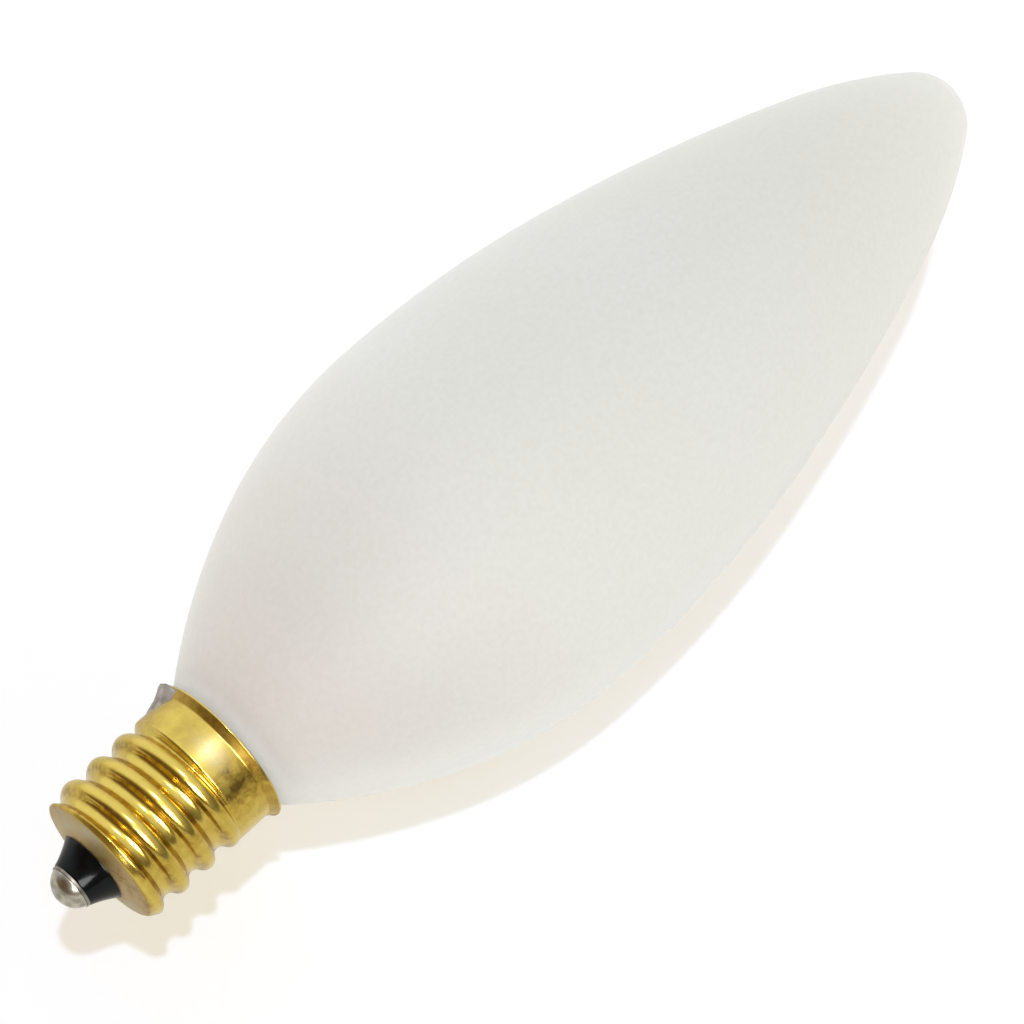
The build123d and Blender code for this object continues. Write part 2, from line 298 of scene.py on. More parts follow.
# Screw cap: thin brass with a rolled knuckle thread, a plain skirt and a flared rim; sizes in mm
brass = {
    "majorReach": 5.775, "depth": 0.75, "skirtReach": 5.675,
    "flareStation": 15.6, "rimReach": 6.2, "wall": 0.25,
    "footReach": 2.925, "footLap": 0.03, "faceReach": 5.175, "faceSlope": 15.0,
    "cornerRadius": 0.35, "cornerTurn": 45.0, "trimBlend": 0.12, "runOutBlend": 0.3, "runOut": (-0.3, 0.2),
    "step": 0.055, "segments": 300, "faceSteps": 12, "cornerSteps": 10, "flareSteps": 10,
    "waviness": 0.014, "waveSize": 2.2,
    # polish is 0 where the brass is dull and greyed and 1 where it is bright yellow
    "facePolish": 0.1, "cornerPolish": 0.7, "crestPolish": 0.9, "skirtPolish": 0.62,
    "flarePolish": 0.45, "lipPolish": 0.9, "insidePolish": 0.3,
    "filmPatch": 2.6, "tones": ((0.05, "#B2A687"), (0.35, "#BA9E4C"), (0.65, "#E6CF68")),
    # brown for tarnish and painted shade, pale for painted highlights
    "spot": 0.8, "brownTones": ((0.55, "#AA7F1C"), (0.95, "#6E5118")), "highlightTone": "#EBDFB2",
    "drawLine": 0.09, "drawLength": 4.0, "lacquer": 0.15,
}
# Tarnish, painted shade and painted highlights on the brass: amounts from 0 to 1, azimuth and spread in degrees,
# station and length in mm
wearShadeAndHighlight = {
    "flank": 0.8, "flankPower": 1.3,
    "footEven": 0.6, "footSided": 0.4, "footAzimuth": 40.0, "footLength": 0.3,
    "flare": 0.75, "flareEven": 0.65, "flareSided": 0.35, "flareStart": (-0.15, 0.1), "flareEnd": (-0.16, -0.1),
    # painted shade on two sides of the cap
    "sideShade": ({"amount": 0.75, "azimuth": 54.0, "spread": 28.0},
                {"amount": 0.55, "azimuth": -58.0, "spread": 26.0}),
    "allRound": 0.15, "threadSideShadeCut": 0.25, "sideShadeStart": (0.6, 1.2),
    "patch": {"amount": 0.95, "azimuth": 42.0, "spread": 22.0, "station": 14.4, "length": 1.6},
    # painted highlight down one side of the skirt, and along the lip
    "paintedHighlight": {"amount": 0.85, "azimuth": 20.0, "spread": 13.0, "station": 14.3, "length": 0.9},
    "lipHighlight": 0.7, "lipStart": (-0.14, -0.08),
}


def threadTurns(station, azimuth):
    return (station - cap["firstCrest"]) / cap["pitch"] - azimuth / 360


def knuckleReach(station, azimuth):
    # crests and roots are arcs of one radius that meet at half depth
    quarter, depth = cap["pitch"] / 4, brass["depth"]
    radius = (quarter**2 + (depth / 2) ** 2) / depth
    turns = threadTurns(station, azimuth)
    x = abs(turns - round(turns)) * cap["pitch"]
    if x <= quarter:
        return brass["majorReach"] - radius + sqrt(radius**2 - x**2)
    return brass["majorReach"] - depth + radius - sqrt(radius**2 - (2 * quarter - x) ** 2)


def cornerRows():
    # the in-turned flange and the tight corner above it, and the angle of the cone that trims the first crest
    b = brass
    slope = radians(b["faceSlope"])
    first = b["footReach"] + b["footLap"]
    rows = []
    for i in range(b["faceSteps"] + 1):
        reach = first + (b["faceReach"] - first) * i / b["faceSteps"]
        rows.append((cap["flange"] + (reach - b["footReach"]) * tan(slope), reach))
    centre = (rows[-1][0] + b["cornerRadius"] * cos(slope), rows[-1][1] - b["cornerRadius"] * sin(slope))
    fromAngle = 180 - b["faceSlope"]
    toAngle = fromAngle - b["cornerTurn"]
    rows += arcPoints(centre, b["cornerRadius"], fromAngle, toAngle, b["cornerSteps"])[1:]
    return rows, radians(90 - b["faceSlope"] - b["cornerTurn"])


def capReach(station, azimuth, coneStart, coneAngle):
    b = brass
    cone = coneStart[1] + (station - coneStart[0]) * tan(coneAngle)
    thread = softMin(knuckleReach(station, azimuth), cone, b["trimBlend"])
    lead = b["skirtReach"] - max(cap["threadEnd"] - station, 0)
    thread = -softMin(-thread, -lead, b["runOutBlend"])
    plain = smoothStep(cap["threadEnd"] + b["runOut"][0], cap["threadEnd"] + b["runOut"][1], station)
    return thread + (b["skirtReach"] - thread) * plain


def softMark(mark, azimuth, station=None):
    # fades out round the cap and, where a station is given, along it
    across = (azimuth - mark["azimuth"] + 180) % 360 - 180
    amount = mark["amount"] * exp(-((across / mark["spread"]) ** 2))
    if station is not None:
        amount *= exp(-(((station - mark["station"]) / mark["length"]) ** 2))
    return amount


def brassTarnishAndShade(station, azimuth):
    # brown: a tarnish patch low on the skirt, and painted shade on the flanks of the thread, round the insulator,
    # under the rim and on two sides of the cap
    w, rim, flange, threadEnd, flareAt = wearShadeAndHighlight, cap["rim"], cap["flange"], cap["threadEnd"], brass["flareStation"]
    onThread = 1 - smoothStep(threadEnd - 0.6, threadEnd, station)
    # painted shade and inter-reflection: brown on the flanks of the thread
    flank = w["flank"] * abs(sin(2 * pi * threadTurns(station, azimuth))) ** w["flankPower"] * onThread
    # painted shade and reflection of the black insulator: brown round its foot, more on one side
    foot = 1 - smoothStep(flange, flange + w["footLength"], station)
    foot *= w["footEven"] + w["footSided"] * cos(radians(azimuth - w["footAzimuth"]))
    # painted shade under the rim, most on top
    flare = w["flare"] * smoothStep(flareAt + w["flareStart"][0], flareAt + w["flareStart"][1], station)
    flare *= 1 - smoothStep(rim + w["flareEnd"][0], rim + w["flareEnd"][1], station)
    flare *= w["flareEven"] + w["flareSided"] * cos(radians(azimuth))
    # painted shade on two sides of the cap, over a light film all round, less on the thread
    sideShade = w["allRound"] + sum(softMark(mark, azimuth) for mark in w["sideShade"])
    sideShade *= smoothStep(flange + w["sideShadeStart"][0], flange + w["sideShadeStart"][1], station)
    sideShade *= 1 - w["threadSideShadeCut"] * onThread
    return max(flank, foot, flare, sideShade, softMark(w["patch"], azimuth, station))


def brassPaintedHighlight(station, azimuth):
    # painted highlights: paler along the rim's lip and down one side of the skirt
    first, last = wearShadeAndHighlight["lipStart"]
    lip = wearShadeAndHighlight["lipHighlight"] * smoothStep(cap["rim"] + first, cap["rim"] + last, station)
    return max(lip, softMark(wearShadeAndHighlight["paintedHighlight"], azimuth, station))


def capRows():
    # rows of (station, reach, polish) up the outside, over the lip and down a plain wall inside
    b = brass
    corner, coneAngle = cornerRows()
    coneStart = corner[-1]
    cornerGain, lastCorner = b["cornerPolish"] - b["facePolish"], b["faceSteps"] + b["cornerSteps"]
    rows = [(station, reach, b["facePolish"] + cornerGain * smoothStep(b["faceSteps"], lastCorner, i))
            for i, (station, reach) in enumerate(corner)]
    length = b["flareStation"] - coneStart[0]
    steps = int(length / b["step"])
    rows += [(coneStart[0] + length * i / steps, None, None) for i in range(1, steps + 1)]  # worked out per point
    flare = Vector((cap["rim"] - b["flareStation"], b["rimReach"] - b["skirtReach"]))
    flareAngle = degrees(flare.angle_signed(Vector((1, 0))))
    for i in range(1, b["flareSteps"] - 1):
        t = i / b["flareSteps"]
        rows.append((b["flareStation"] + flare.x * t, b["skirtReach"] + flare.y * t, b["flarePolish"]))
    lip = (cap["rim"] - b["wall"] / 2, b["rimReach"] - b["wall"] / 2)
    rows += [(station, reach, b["lipPolish"])
             for station, reach in arcPoints(lip, b["wall"] / 2, 90 + flareAngle, flareAngle - 90, 10)]
    inner = b["skirtReach"] - b["wall"]
    core = b["majorReach"] - b["depth"] - b["wall"]
    inside = [(b["flareStation"], inner), (cap["threadEnd"] + 0.3, inner), (cap["threadEnd"] - 0.3, core),
              (cap["flange"] + 1, core), (cap["flange"] + 0.3, corner[0][1])]
    rows += [(station, reach, b["insidePolish"]) for station, reach in inside]
    return rows, coneStart, coneAngle


def brassCap():
    b = brass
    rows, coneStart, coneAngle = capRows()
    firstSide = next(station for station, reach, shine in rows if reach is None)
    points, polish, tarnishAndShade, paintedHighlight = [], [], [], []
    for station, reach, shine in rows:
        for i in range(b["segments"]):
            azimuth = 360 * i / b["segments"]
            r = capReach(station, azimuth, coneStart, coneAngle) if reach is None else reach
            if station < firstSide:
                r = min(r, knuckleReach(station, azimuth))
            r += b["waviness"] * noise.noise(place(station, r, azimuth) / (b["waveSize"] * mm))
            points.append(place(station, r, azimuth))
            plain = smoothStep(cap["threadEnd"] - 0.5, cap["threadEnd"] + 0.2, station)
            sideShine = b["crestPolish"] + (b["skirtPolish"] - b["crestPolish"]) * plain
            polish.append(sideShine if shine is None else shine)
            # brown tarnish with painted shade, and painted highlights, for each point
            tarnishAndShade.append(brassTarnishAndShade(station, azimuth))
            paintedHighlight.append(brassPaintedHighlight(station, azimuth))
    piece = newPiece("brassCap", points, ringFaces(len(rows), b["segments"], closed=True))
    for name, values in (("polish", polish), ("tarnishAndShade", tarnishAndShade), ("paintedHighlight", paintedHighlight)):
        piece.data.attributes.new(name, "FLOAT", "POINT").data.foreach_set("value", values)
    return piece


def makeDrawnBrass():
    # Brass drawn and rolled: bright yellow crests, fine draw lines and a brown tarnish patch; the brown in the
    # grooves and on the flange is painted shade, and the pale places are painted highlights
    b = brass
    material, tree = newMaterial("drawnBrass")
    where = addNode(tree, "ShaderNodeTexCoord").outputs["Object"]
    polish, brown, highlightMask = [addNode(tree, "ShaderNodeAttribute", {"attribute_name": name}).outputs["Fac"]
                             for name in ("polish", "tarnishAndShade", "paintedHighlight")]
    film = addNode(tree, "ShaderNodeTexNoise",
                   {"Scale": 1 / (b["filmPatch"] * mm), "Detail": 5.0, "Roughness": 0.6}, {"Vector": where})
    patchy = addNode(tree, "ShaderNodeMath", {"operation": "MULTIPLY_ADD", 1: 0.9, 2: -0.45},
                     {0: film.outputs["Fac"]})
    amount = addNode(tree, "ShaderNodeMath", {"operation": "ADD", "use_clamp": True},
                     {0: patchy.outputs[0], 1: polish})
    color = addNode(tree, "ShaderNodeValToRGB", links={"Fac": amount.outputs[0]})
    setRamp(color, b["tones"])
    # small spots break up the brown tarnish and painted shade, and the painted highlights
    spots = addNode(tree, "ShaderNodeTexNoise",
                    {"Scale": 1 / (b["spot"] * mm), "Detail": 4.0, "Roughness": 0.65}, {"Vector": where})
    spotty = addNode(tree, "ShaderNodeMapRange",
                     {"From Min": 0.35, "From Max": 0.6, "To Min": 0.45, "To Max": 1.0},
                     {"Value": spots.outputs["Fac"]})
    browned = addNode(tree, "ShaderNodeMath", {"operation": "MULTIPLY"}, {0: brown, 1: spotty.outputs["Result"]})
    brownTone = addNode(tree, "ShaderNodeValToRGB", links={"Fac": browned.outputs[0]})
    setRamp(brownTone, b["brownTones"])
    toned = addNode(tree, "ShaderNodeMix", {"data_type": "RGBA"},
                    {mixFac: browned.outputs[0], mixA: color.outputs["Color"], mixB: brownTone.outputs["Color"]})
    # painted highlights: paler where the highlight mask is set, broken by the spots
    spottedHighlight = addNode(tree, "ShaderNodeMath", {"operation": "MULTIPLY"}, {0: highlightMask, 1: spotty.outputs["Result"]})
    highlighted = addNode(tree, "ShaderNodeMix", {"data_type": "RGBA", mixB: hexColor(b["highlightTone"])},
                    {mixFac: spottedHighlight.outputs[0], mixA: toned.outputs[mixOut]})
    rough = addNode(tree, "ShaderNodeMapRange",
                    {"From Min": 0.1, "From Max": 0.9, "To Min": 0.42, "To Max": 0.18},
                    {"Value": amount.outputs[0]})
    # draw lines run round the cap, so the noise is squeezed along its axis
    lengthwise = 1 / (b["drawLength"] * mm)
    squeeze = addNode(tree, "ShaderNodeMapping",
                      {"Rotation": (0, asin(along.z), 0),
                       "Scale": (1 / (b["drawLine"] * mm), lengthwise, lengthwise)}, {"Vector": where})
    lines = addNode(tree, "ShaderNodeTexNoise", {"Scale": 1.0, "Detail": 2.0},
                    {"Vector": squeeze.outputs["Vector"]})
    bump = addNode(tree, "ShaderNodeBump", {"Strength": 0.1, "Distance": 0.02 * mm},
                   {"Height": lines.outputs["Fac"]})
    # a thin clear lacquer whitens the brightest reflections
    shader = addNode(tree, "ShaderNodeBsdfPrincipled",
                     {"Metallic": 1.0, "Coat Weight": b["lacquer"], "Coat Roughness": 0.2, "Coat IOR": 1.5},
                     {"Base Color": highlighted.outputs[mixOut], "Roughness": rough.outputs["Result"],
                      "Normal": bump.outputs["Normal"]})
    addNode(tree, "ShaderNodeOutputMaterial", links={"Surface": shader.outputs[0]})
    return material


dress(brassCap(), makeDrawnBrass(), "screw_shell")
print("cap done")

# Black glass insulator, moulded hot into the cap's bottom; sizes in mm
insulator = {
    "nose": 1.5, "noseReach": 1.95, "boreReach": 0.86, "hollow": 0.07, "rounding": 0.12,
    "footLift": 0.02, "sunk": 0.32, "ragged": 0.05, "raggedSize": 0.7,
    "segments": 144, "roundSteps": 6, "sideSteps": 20,
    "flow": 0.9, "tones": ((0.3, "#050607"), (0.7, "#0C1112")),
}


def blackGlassSeat():
    n = insulator
    sunk = cap["flange"] + n["sunk"]
    profile = [(sunk, n["boreReach"]), (n["nose"], n["boreReach"])]
    shoulder = (n["nose"] + n["rounding"], n["noseReach"] - n["rounding"])
    profile += arcPoints(shoulder, n["rounding"], 180, 112, n["roundSteps"])
    first, foot = profile[-1], (cap["flange"] + n["footLift"], brass["footReach"])
    for i in range(1, n["sideSteps"] + 1):
        t = i / n["sideSteps"]
        bow = n["hollow"] * (1 - (2 * t - 1) ** 2)
        profile.append((first[0] + (foot[0] - first[0]) * t, first[1] + (foot[1] - first[1]) * t - bow))
    profile += [(sunk, foot[1])]

    def footRipple(station, reach, azimuth):
        # the foot's edge runs a little unevenly over the brass
        if station >= cap["flange"] + 0.1:
            return 0.0
        low = smoothStep(cap["flange"] - 0.5, cap["flange"], station)
        return n["ragged"] * low * noise.noise(place(station, reach, azimuth) / (n["raggedSize"] * mm))

    return lathe("blackGlassSeat", profile, n["segments"], footRipple, closed=True)


def makeBlackGlass():
    # Black glass moulded hot: deep fire-polished gloss with slight flow marks
    material, tree = newMaterial("mouldedBlackGlass")
    where = addNode(tree, "ShaderNodeTexCoord").outputs["Object"]
    flow = addNode(tree, "ShaderNodeTexNoise", {"Scale": 1 / (insulator["flow"] * mm), "Detail": 2.0},
                   {"Vector": where})
    color = addNode(tree, "ShaderNodeValToRGB", links={"Fac": flow.outputs["Fac"]})
    setRamp(color, insulator["tones"])
    rough = addNode(tree, "ShaderNodeMapRange", {"To Min": 0.08, "To Max": 0.2}, {"Value": flow.outputs["Fac"]})
    bump = addNode(tree, "ShaderNodeBump", {"Strength": 0.25, "Distance": 0.05 * mm},
                   {"Height": flow.outputs["Fac"]})
    shader = addNode(tree, "ShaderNodeBsdfPrincipled", {"IOR": 1.52, "Specular IOR Level": 0.15},
                     {"Base Color": color.outputs["Color"], "Roughness": rough.outputs["Result"],
                      "Normal": bump.outputs["Normal"]})
    addNode(tree, "ShaderNodeOutputMaterial", links={"Surface": shader.outputs[0]})
    return material


dress(blackGlassSeat(), makeBlackGlass(), "base_insulator")

# End contact, a dome of solder on the eyelet, and the drop of solder below the rim; sizes in mm
contact = {
    "height": 1.3, "footReach": 1.8, "lumps": 0.025, "lumpSize": 1.1, "segments": 112, "arcSteps": 26,
    "light": "#CCC8BC", "dark": "#8E897C", "roughness": 0.25,
}
rimDrop = {
    "azimuth": -62.0,
    "sections": ((2.5, 1.4, 0.05), (1.3, 3.2, 0.42), (0.2, 5.2, 1.0)),  # drop below the rim, width, stand
    "topGap": 0.04, "topFrom": 0.8, "topFall": 0.45, "tailRise": 0.08, "tailRound": 0.8, "tailStub": 0.05,
    "rows": 44, "columns": 60, "lumps": 0.16, "lumpSize": 0.9, "edgeWobble": 4.0, "wobbleSize": 1.5,
    "skin": 0.03, "sunk": 0.02, "buried": 0.1,
    "light": "#C0B9B3", "dark": "#968F89", "roughness": 0.5,
}
solder = {"skinGrain": 0.8, "roughSpread": 0.08}


def contactDome():
    c = contact
    radius = (c["footReach"] ** 2 + c["height"] ** 2) / (2 * c["height"])
    footAngle = degrees(asin(c["footReach"] / radius))
    profile = [(0.0, 0.0)] + arcPoints((radius, 0.0), radius, 177, 180 - footAngle, c["arcSteps"])
    profile += [(c["height"], c["footReach"] * 0.9), (c["height"], 0.0)]

    def lump(station, reach, azimuth):
        swell = noise.noise(place(station, reach, azimuth) / (c["lumpSize"] * mm)) - 0.5
        return c["lumps"] * min(reach, 1) * swell

    return lathe("contactDome", profile, c["segments"], lump)


def dropShape(drop):
    # width and stand at a distance below the rim, eased between the named sections
    tail, waist, top = rimDrop["sections"]
    low, high = (tail, waist) if drop > waist[0] else (waist, top)
    t = min((low[0] - drop) / (low[0] - high[0]), 1)
    width = low[1] + (high[1] - low[1]) * t
    end = max(drop - tail[0] + rimDrop["tailRound"], 0) / (rimDrop["tailRound"] + rimDrop["tailStub"])
    return width * sqrt(1 - end * end), low[2] + (high[2] - low[2]) * t


def rimSolder():
    d, skirt, flareAt = rimDrop, brass["skirtReach"], brass["flareStation"]
    flareSlope = (brass["rimReach"] - skirt) / (cap["rim"] - flareAt)
    outer, inner = [], []
    for r in range(d["rows"] + 1):
        t = r / d["rows"]
        drop = d["sections"][0][0] * (1 - t) + d["topGap"]
        station = cap["rim"] - drop
        flare = max(station - flareAt, 0) * flareSlope
        width, stand = dropShape(drop)
        stand *= smoothStep(0, d["tailRise"], t) * (1 - d["topFall"] * smoothStep(d["topFrom"], 1, t) ** 2)
        for c in range(d["columns"] + 1):
            u = 2 * c / d["columns"] - 1
            uneven = noise.noise(Vector((drop / d["wobbleSize"], u, 5)))
            wobble = d["edgeWobble"] * uneven * smoothStep(0.6, 0.2, t) * abs(u)
            azimuth = d["azimuth"] + degrees(width / 2 / skirt) * u + wobble
            thick = max(stand * (1 - u * u) - flare * 0.8, d["skin"] * (1 - u**8))
            thick *= 1 + d["lumps"] * noise.noise(place(station, skirt, azimuth) / (d["lumpSize"] * mm))
            outer.append(place(station, skirt + flare + thick - d["sunk"], azimuth))
            inner.append(place(station, skirt + flare - d["buried"], azimuth))
    count, wide = len(outer), d["columns"] + 1
    faces = []
    for r in range(d["rows"]):
        for c in range(d["columns"]):
            k = r * wide + c
            faces.append((k, k + 1, k + wide + 1, k + wide))
            faces.append((count + k, count + k + wide, count + k + wide + 1, count + k + 1))
    lastRow = d["rows"] * wide
    border = list(range(wide)) + [r * wide + wide - 1 for r in range(1, d["rows"] + 1)]
    border += [lastRow + c for c in range(wide - 2, -1, -1)] + [r * wide for r in range(d["rows"] - 1, 0, -1)]
    for k, m in zip(border, border[1:] + border[:1]):
        faces.append((m, k, count + k, count + m))
    return newPiece("rimSolder", outer + inner, faces)


def makeTinLeadSolder(name, light, dark, roughness):
    # Tin-lead solder, set from the melt: a silvery skin, smooth where wiped and grainy where it cooled slowly
    material, tree = newMaterial(name)
    where = addNode(tree, "ShaderNodeTexCoord").outputs["Object"]
    skin = addNode(tree, "ShaderNodeTexNoise", {"Scale": 1 / (solder["skinGrain"] * mm), "Detail": 4.0},
                   {"Vector": where})
    color = addNode(tree, "ShaderNodeValToRGB", links={"Fac": skin.outputs["Fac"]})
    setRamp(color, [(0.35, dark), (0.65, light)])
    rough = addNode(tree, "ShaderNodeMapRange",
                    {"To Min": roughness + solder["roughSpread"], "To Max": roughness - solder["roughSpread"]},
                    {"Value": skin.outputs["Fac"]})
    bump = addNode(tree, "ShaderNodeBump", {"Strength": 0.15, "Distance": 0.04 * mm},
                   {"Height": skin.outputs["Fac"]})
    shader = addNode(tree, "ShaderNodeBsdfPrincipled", {"Metallic": 1.0},
                     {"Base Color": color.outputs["Color"], "Roughness": rough.outputs["Result"],
                      "Normal": bump.outputs["Normal"]})
    addNode(tree, "ShaderNodeOutputMaterial", links={"Surface": shader.outputs[0]})
    return material


wipedSolder = makeTinLeadSolder("wipedSolder", contact["light"], contact["dark"], contact["roughness"])
dullSolder = makeTinLeadSolder("slowCooledSolder", rimDrop["light"], rimDrop["dark"], rimDrop["roughness"])
dress(contactDome(), wipedSolder, "contact_solder")
dress(rimSolder(), dullSolder, "rim_solder")
print("contact and solder done")

# Side lead, drawn again, and the small carried-over solids with their finishes; sizes in mm
wire = {
    # station and reach of each corner, from the seal over the rim to the cut end
    "path": ((13.3, 2.6), (12.75, 2.6), (12.75, 5.0625), (14.6, 5.0625), (16.48, 6.15), (16.14, 6.46)),
    "reach": 0.15, "bend": 0.2, "bendSteps": 6, "sides": 16, "nibAngles": (0, 25, 50, 70, 85),
    "dark": "#57504B", "light": "#8F857C", "film": 0.25,
}
cement = {"dark": "#A8977C", "light": "#D3C7B0", "grit": 0.3}
eyelet = {"dark": "#6F6A60", "light": "#A39E92", "roughness": 0.35}


def bentLead():
    # the side lead from the seal over the rim, with rounded bends and a rounded cut end
    w = wire
    corners = [Vector(point) for point in w["path"]]
    line = [corners[0]]
    for before, corner, after in zip(corners, corners[1:], corners[2:]):
        a = corner + (before - corner).normalized() * w["bend"]
        b = corner + (after - corner).normalized() * w["bend"]
        for i in range(w["bendSteps"] + 1):
            t = i / w["bendSteps"]
            line.append(a.lerp(corner, t).lerp(corner.lerp(b, t), t))
    rings = [(point, w["reach"]) for point in line]
    nib = (corners[-1] - corners[-2]).normalized()
    for angle in w["nibAngles"]:
        a = radians(angle)
        rings.append((corners[-1] + nib * w["reach"] * sin(a), w["reach"] * cos(a)))
    turn = radians(rimDrop["azimuth"])
    across = sideways * cos(turn) - upright * sin(turn)
    points = []
    for k, (point, radius) in enumerate(rings):
        ahead = nib if k >= len(line) else (rings[k + 1][0] - rings[max(k - 1, 0)][0]).normalized()
        for i in range(w["sides"]):
            a = radians(360 * i / w["sides"])
            out = point + Vector((-ahead.y, ahead.x)) * radius * cos(a)
            points.append(place(out.x, out.y, rimDrop["azimuth"]) + across * radius * sin(a) * mm)
    faces = ringFaces(len(rings), w["sides"])
    faces += [tuple(reversed(range(w["sides"]))), tuple(range(len(points) - w["sides"], len(points)))]
    return newPiece("bentLead", points, faces)


def makeLeadWire():
    # Nickel-plated copper wire, drawn: dark and dulled by the soldering flux
    material, tree = newMaterial("drawnLeadWire")
    where = addNode(tree, "ShaderNodeTexCoord").outputs["Object"]
    film = addNode(tree, "ShaderNodeTexNoise", {"Scale": 1 / (wire["film"] * mm), "Detail": 3.0},
                   {"Vector": where})
    color = addNode(tree, "ShaderNodeValToRGB", links={"Fac": film.outputs["Fac"]})
    setRamp(color, [(0.3, wire["dark"]), (0.7, wire["light"])])
    shader = addNode(tree, "ShaderNodeBsdfPrincipled", {"Metallic": 1.0, "Roughness": 0.45},
                     {"Base Color": color.outputs["Color"]})
    addNode(tree, "ShaderNodeOutputMaterial", links={"Surface": shader.outputs[0]})
    return material


def makeBakedCement():
    # Capping cement baked hard: chalky, gritty and pale brown
    material, tree = newMaterial("bakedCement")
    where = addNode(tree, "ShaderNodeTexCoord").outputs["Object"]
    grit = addNode(tree, "ShaderNodeTexNoise", {"Scale": 1 / (cement["grit"] * mm), "Detail": 4.0},
                   {"Vector": where})
    color = addNode(tree, "ShaderNodeValToRGB", links={"Fac": grit.outputs["Fac"]})
    setRamp(color, [(0.3, cement["dark"]), (0.7, cement["light"])])
    bump = addNode(tree, "ShaderNodeBump", {"Strength": 0.4, "Distance": 0.05 * mm},
                   {"Height": grit.outputs["Fac"]})
    shader = addNode(tree, "ShaderNodeBsdfPrincipled", {"Roughness": 0.9},
                     {"Base Color": color.outputs["Color"], "Normal": bump.outputs["Normal"]})
    addNode(tree, "ShaderNodeOutputMaterial", links={"Surface": shader.outputs[0]})
    return material


leadWire = makeLeadWire()
dress(bentLead(), leadWire, "side_lead")
tinnedEyelet = makeTinLeadSolder("tinnedEyelet", eyelet["light"], eyelet["dark"], eyelet["roughness"])
finishes = {"centre_lead": leadWire, "base_cement": makeBakedCement(), "contact_eyelet": tinnedEyelet}
for nodeName, finish in finishes.items():
    slots = frame["nodes"][nodeName].data.materials
    slots.clear()
    slots.append(finish)
print("small pieces done")

# Paper floor: white where the lamps reach it, beige in the bulb's shadow
floor = {"size": 3.0, "bounce": "#EDEBE4", "base": "#BCA359", "catch": "#C1D7FF"}


def makeWhitePaper():
    # Matt white paper: the eye sees a bright base, and the rest of its light is what can be shaded
    # Reflections and light thrown back on the bulb see plain paper
    material, tree = newMaterial("mattWhitePaper")
    light = addNode(tree, "ShaderNodeLightPath")
    seen = addNode(tree, "ShaderNodeMath", {"operation": "ADD", "use_clamp": True},
                   {0: light.outputs["Is Camera Ray"], 1: light.outputs["Is Transmission Ray"]})
    bounce = addNode(tree, "ShaderNodeBsdfDiffuse", {"Color": hexColor(floor["bounce"])})
    base = addNode(tree, "ShaderNodeEmission", {"Color": hexColor(floor["base"]), "Strength": 1.0})
    catch = addNode(tree, "ShaderNodeBsdfDiffuse", {"Color": hexColor(floor["catch"])})
    shown = addNode(tree, "ShaderNodeAddShader", links={0: base.outputs[0], 1: catch.outputs[0]})
    shader = addNode(tree, "ShaderNodeMixShader",
                     links={0: seen.outputs[0], 1: bounce.outputs[0], 2: shown.outputs[0]})
    addNode(tree, "ShaderNodeOutputMaterial", links={"Surface": shader.outputs[0]})
    return material


def paperFloor():
    half, height = floor["size"] / 2, cadBox[0][2] - 0.02 * mm
    corners = [(-half, -half, height), (half, -half, height), (half, half, height), (-half, half, height)]
    piece = newPiece("paperFloor", corners, [(0, 1, 2, 3)])
    piece.data.materials.append(makeWhitePaper())


paperFloor()

# Lamps: a small one overhead for the crisp shadow, a soft box low in front, a room that is paler overhead
lamps = {
    "overheadTowards": (-0.098, -0.192, 0.977), "overheadStrength": 0.96, "overheadAngle": 2.5,
    "boxTowards": (-0.50, -0.63, 0.59), "boxDistance": 0.6, "boxSize": 0.3, "boxRadiance": 13.0,
    "roomBands": ((0.0, "#7C7C7C"), (0.3, "#9A9A9A"), (0.6, "#EDEDED"), (0.85, "#FFFFFF"), (1.0, "#F2F2F2")),
    "backWall": "#FFFFFF", "backFrom": (-0.1, 0.5), "capEnd": "#7A6446", "capEndFrom": (-0.75, -0.35),
    "fillBands": ((0.0, "#FFFFFF"), (0.35, "#E1E1E1"), (0.7, "#A4A4A4"), (1.0, "#848484")),
    "fillFront": 1.54, "fillBack": 1.45, "backdrop": "#FFFFFF",
}


def hangLamps():
    overhead = bpy.data.lights.new("overheadLamp", "SUN")
    overhead.energy = lamps["overheadStrength"]
    overhead.angle = radians(lamps["overheadAngle"])
    box = bpy.data.lights.new("softBox", "AREA")
    box.size = lamps["boxSize"]
    box.energy = lamps["boxRadiance"] * pi * lamps["boxSize"] ** 2
    for data, towards in ((overhead, lamps["overheadTowards"]), (box, lamps["boxTowards"])):
        lamp = bpy.data.objects.new(data.name, data)
        lamp.location = Vector(towards).normalized() * lamps["boxDistance"]
        lamp.rotation_euler = Vector(towards).to_track_quat("Z", "Y").to_euler()
        lamp.visible_diffuse = data is overhead  # the soft box is only there for the gloss of the metal
        scene.collection.objects.link(lamp)


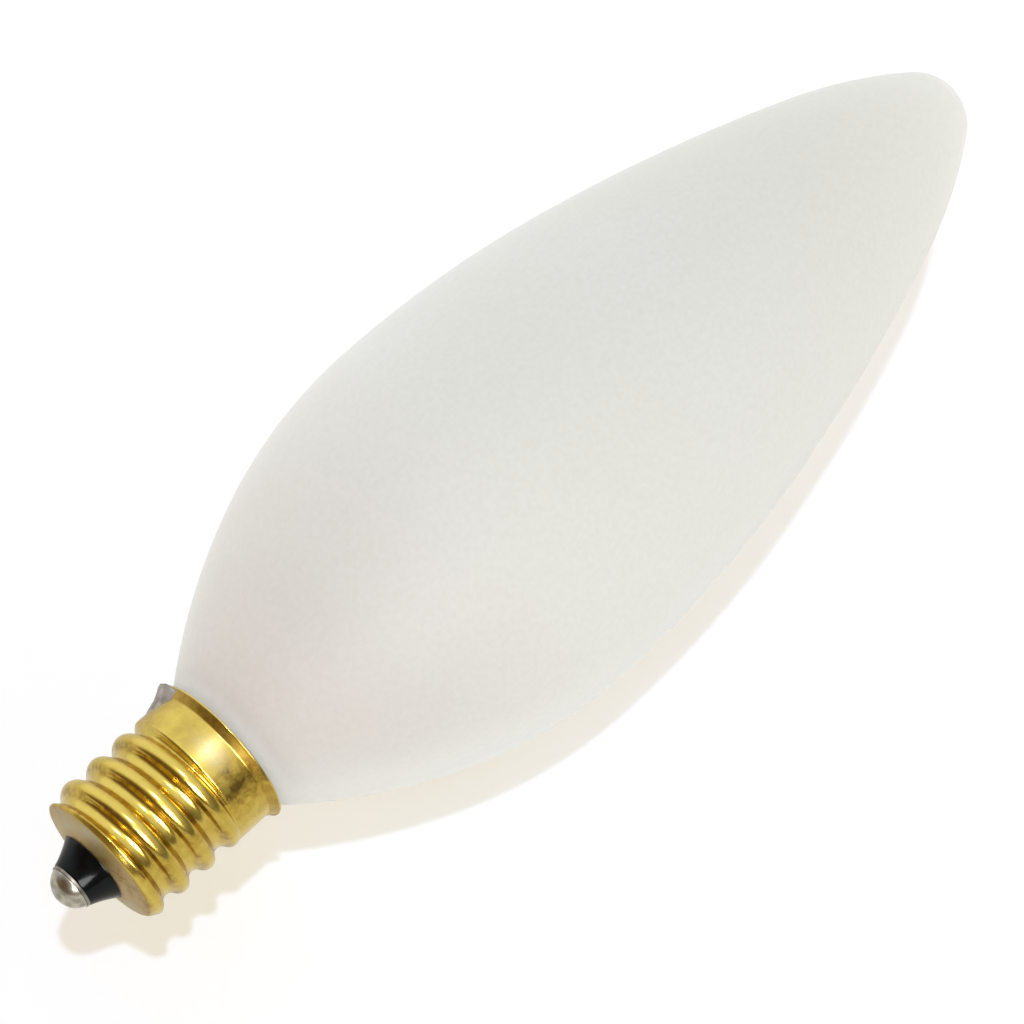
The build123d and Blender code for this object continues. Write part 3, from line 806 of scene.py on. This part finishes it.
def makeRoom():
    world = bpy.data.worlds.new("paleRoom")
    world.use_nodes = True
    scene.world = world
    tree = world.node_tree
    tree.nodes.clear()
    direction = addNode(tree, "ShaderNodeTexCoord").outputs["Generated"]
    split = addNode(tree, "ShaderNodeSeparateXYZ", links={0: direction})
    # reflections see bands that are paler overhead, with a white wall behind
    bands = addNode(tree, "ShaderNodeValToRGB", links={"Fac": split.outputs["Z"]})
    setRamp(bands, lamps["roomBands"])
    back = addNode(tree, "ShaderNodeMapRange",
                   {**eased, "From Min": lamps["backFrom"][0], "From Max": lamps["backFrom"][1]},
                   {"Value": split.outputs["Y"]})
    walls = addNode(tree, "ShaderNodeMix", {"data_type": "RGBA", mixB: hexColor(lamps["backWall"])},
                    {mixFac: back.outputs["Result"], mixA: bands.outputs["Color"]})
    # the room is darker beyond the cap's end
    dim = addNode(tree, "ShaderNodeMapRange",
                  {**eased, "From Min": lamps["capEndFrom"][0], "From Max": lamps["capEndFrom"][1]},
                  {"Value": split.outputs["X"]})
    dimmed = addNode(tree, "ShaderNodeMix", {"data_type": "RGBA", mixA: hexColor(lamps["capEnd"])},
                     {mixFac: dim.outputs["Result"], mixB: walls.outputs[mixOut]})
    room = addNode(tree, "ShaderNodeBackground", {"Strength": 1.0}, {"Color": dimmed.outputs[mixOut]})
    # matt surfaces are lit by a tent that is brighter round the sides, which keeps the glass flat
    tent = addNode(tree, "ShaderNodeValToRGB", links={"Fac": split.outputs["Z"]})
    setRamp(tent, lamps["fillBands"])
    depth = addNode(tree, "ShaderNodeMapRange",
                    {"From Min": -1.0, "From Max": 1.0, "To Min": lamps["fillFront"], "To Max": lamps["fillBack"]},
                    {"Value": split.outputs["Y"]})
    fill = addNode(tree, "ShaderNodeBackground",
                   links={"Color": tent.outputs["Color"], "Strength": depth.outputs["Result"]})
    backdrop = addNode(tree, "ShaderNodeBackground", {"Color": hexColor(lamps["backdrop"]), "Strength": 1.0})
    light = addNode(tree, "ShaderNodeLightPath")
    lit = addNode(tree, "ShaderNodeMixShader",
                  links={0: light.outputs["Is Glossy Ray"], 1: fill.outputs[0], 2: room.outputs[0]})
    mix = addNode(tree, "ShaderNodeMixShader",
                  links={0: light.outputs["Is Camera Ray"], 1: lit.outputs[0], 2: backdrop.outputs[0]})
    addNode(tree, "ShaderNodeOutputWorld", links={"Surface": mix.outputs[0]})


hangLamps()
makeRoom()
print("light done")

# Camera where the photograph was taken from, places in mm
view = {
    "place": (-133.15, -141.73, 318.09), "towards": (0.3653, 0.3921, -0.8442), "up": (0.6031, 0.5911, 0.5356),
    "lens": 168.75, "sensor": 36, "nearest": 10,
}


def setCamera():
    data = bpy.data.cameras.new("camera")
    data.lens = view["lens"]
    data.sensor_width = view["sensor"]
    data.clip_start = view["nearest"] * mm
    camera = bpy.data.objects.new("camera", data)
    back = -Vector(view["towards"]).normalized()
    right = Vector(view["up"]).cross(back).normalized()
    turn = Matrix((right, back.cross(right), back)).transposed().to_4x4()
    camera.matrix_world = Matrix.Translation(Vector(view["place"]) * mm) @ turn
    scene.collection.objects.link(camera)
    scene.camera = camera


setCamera()
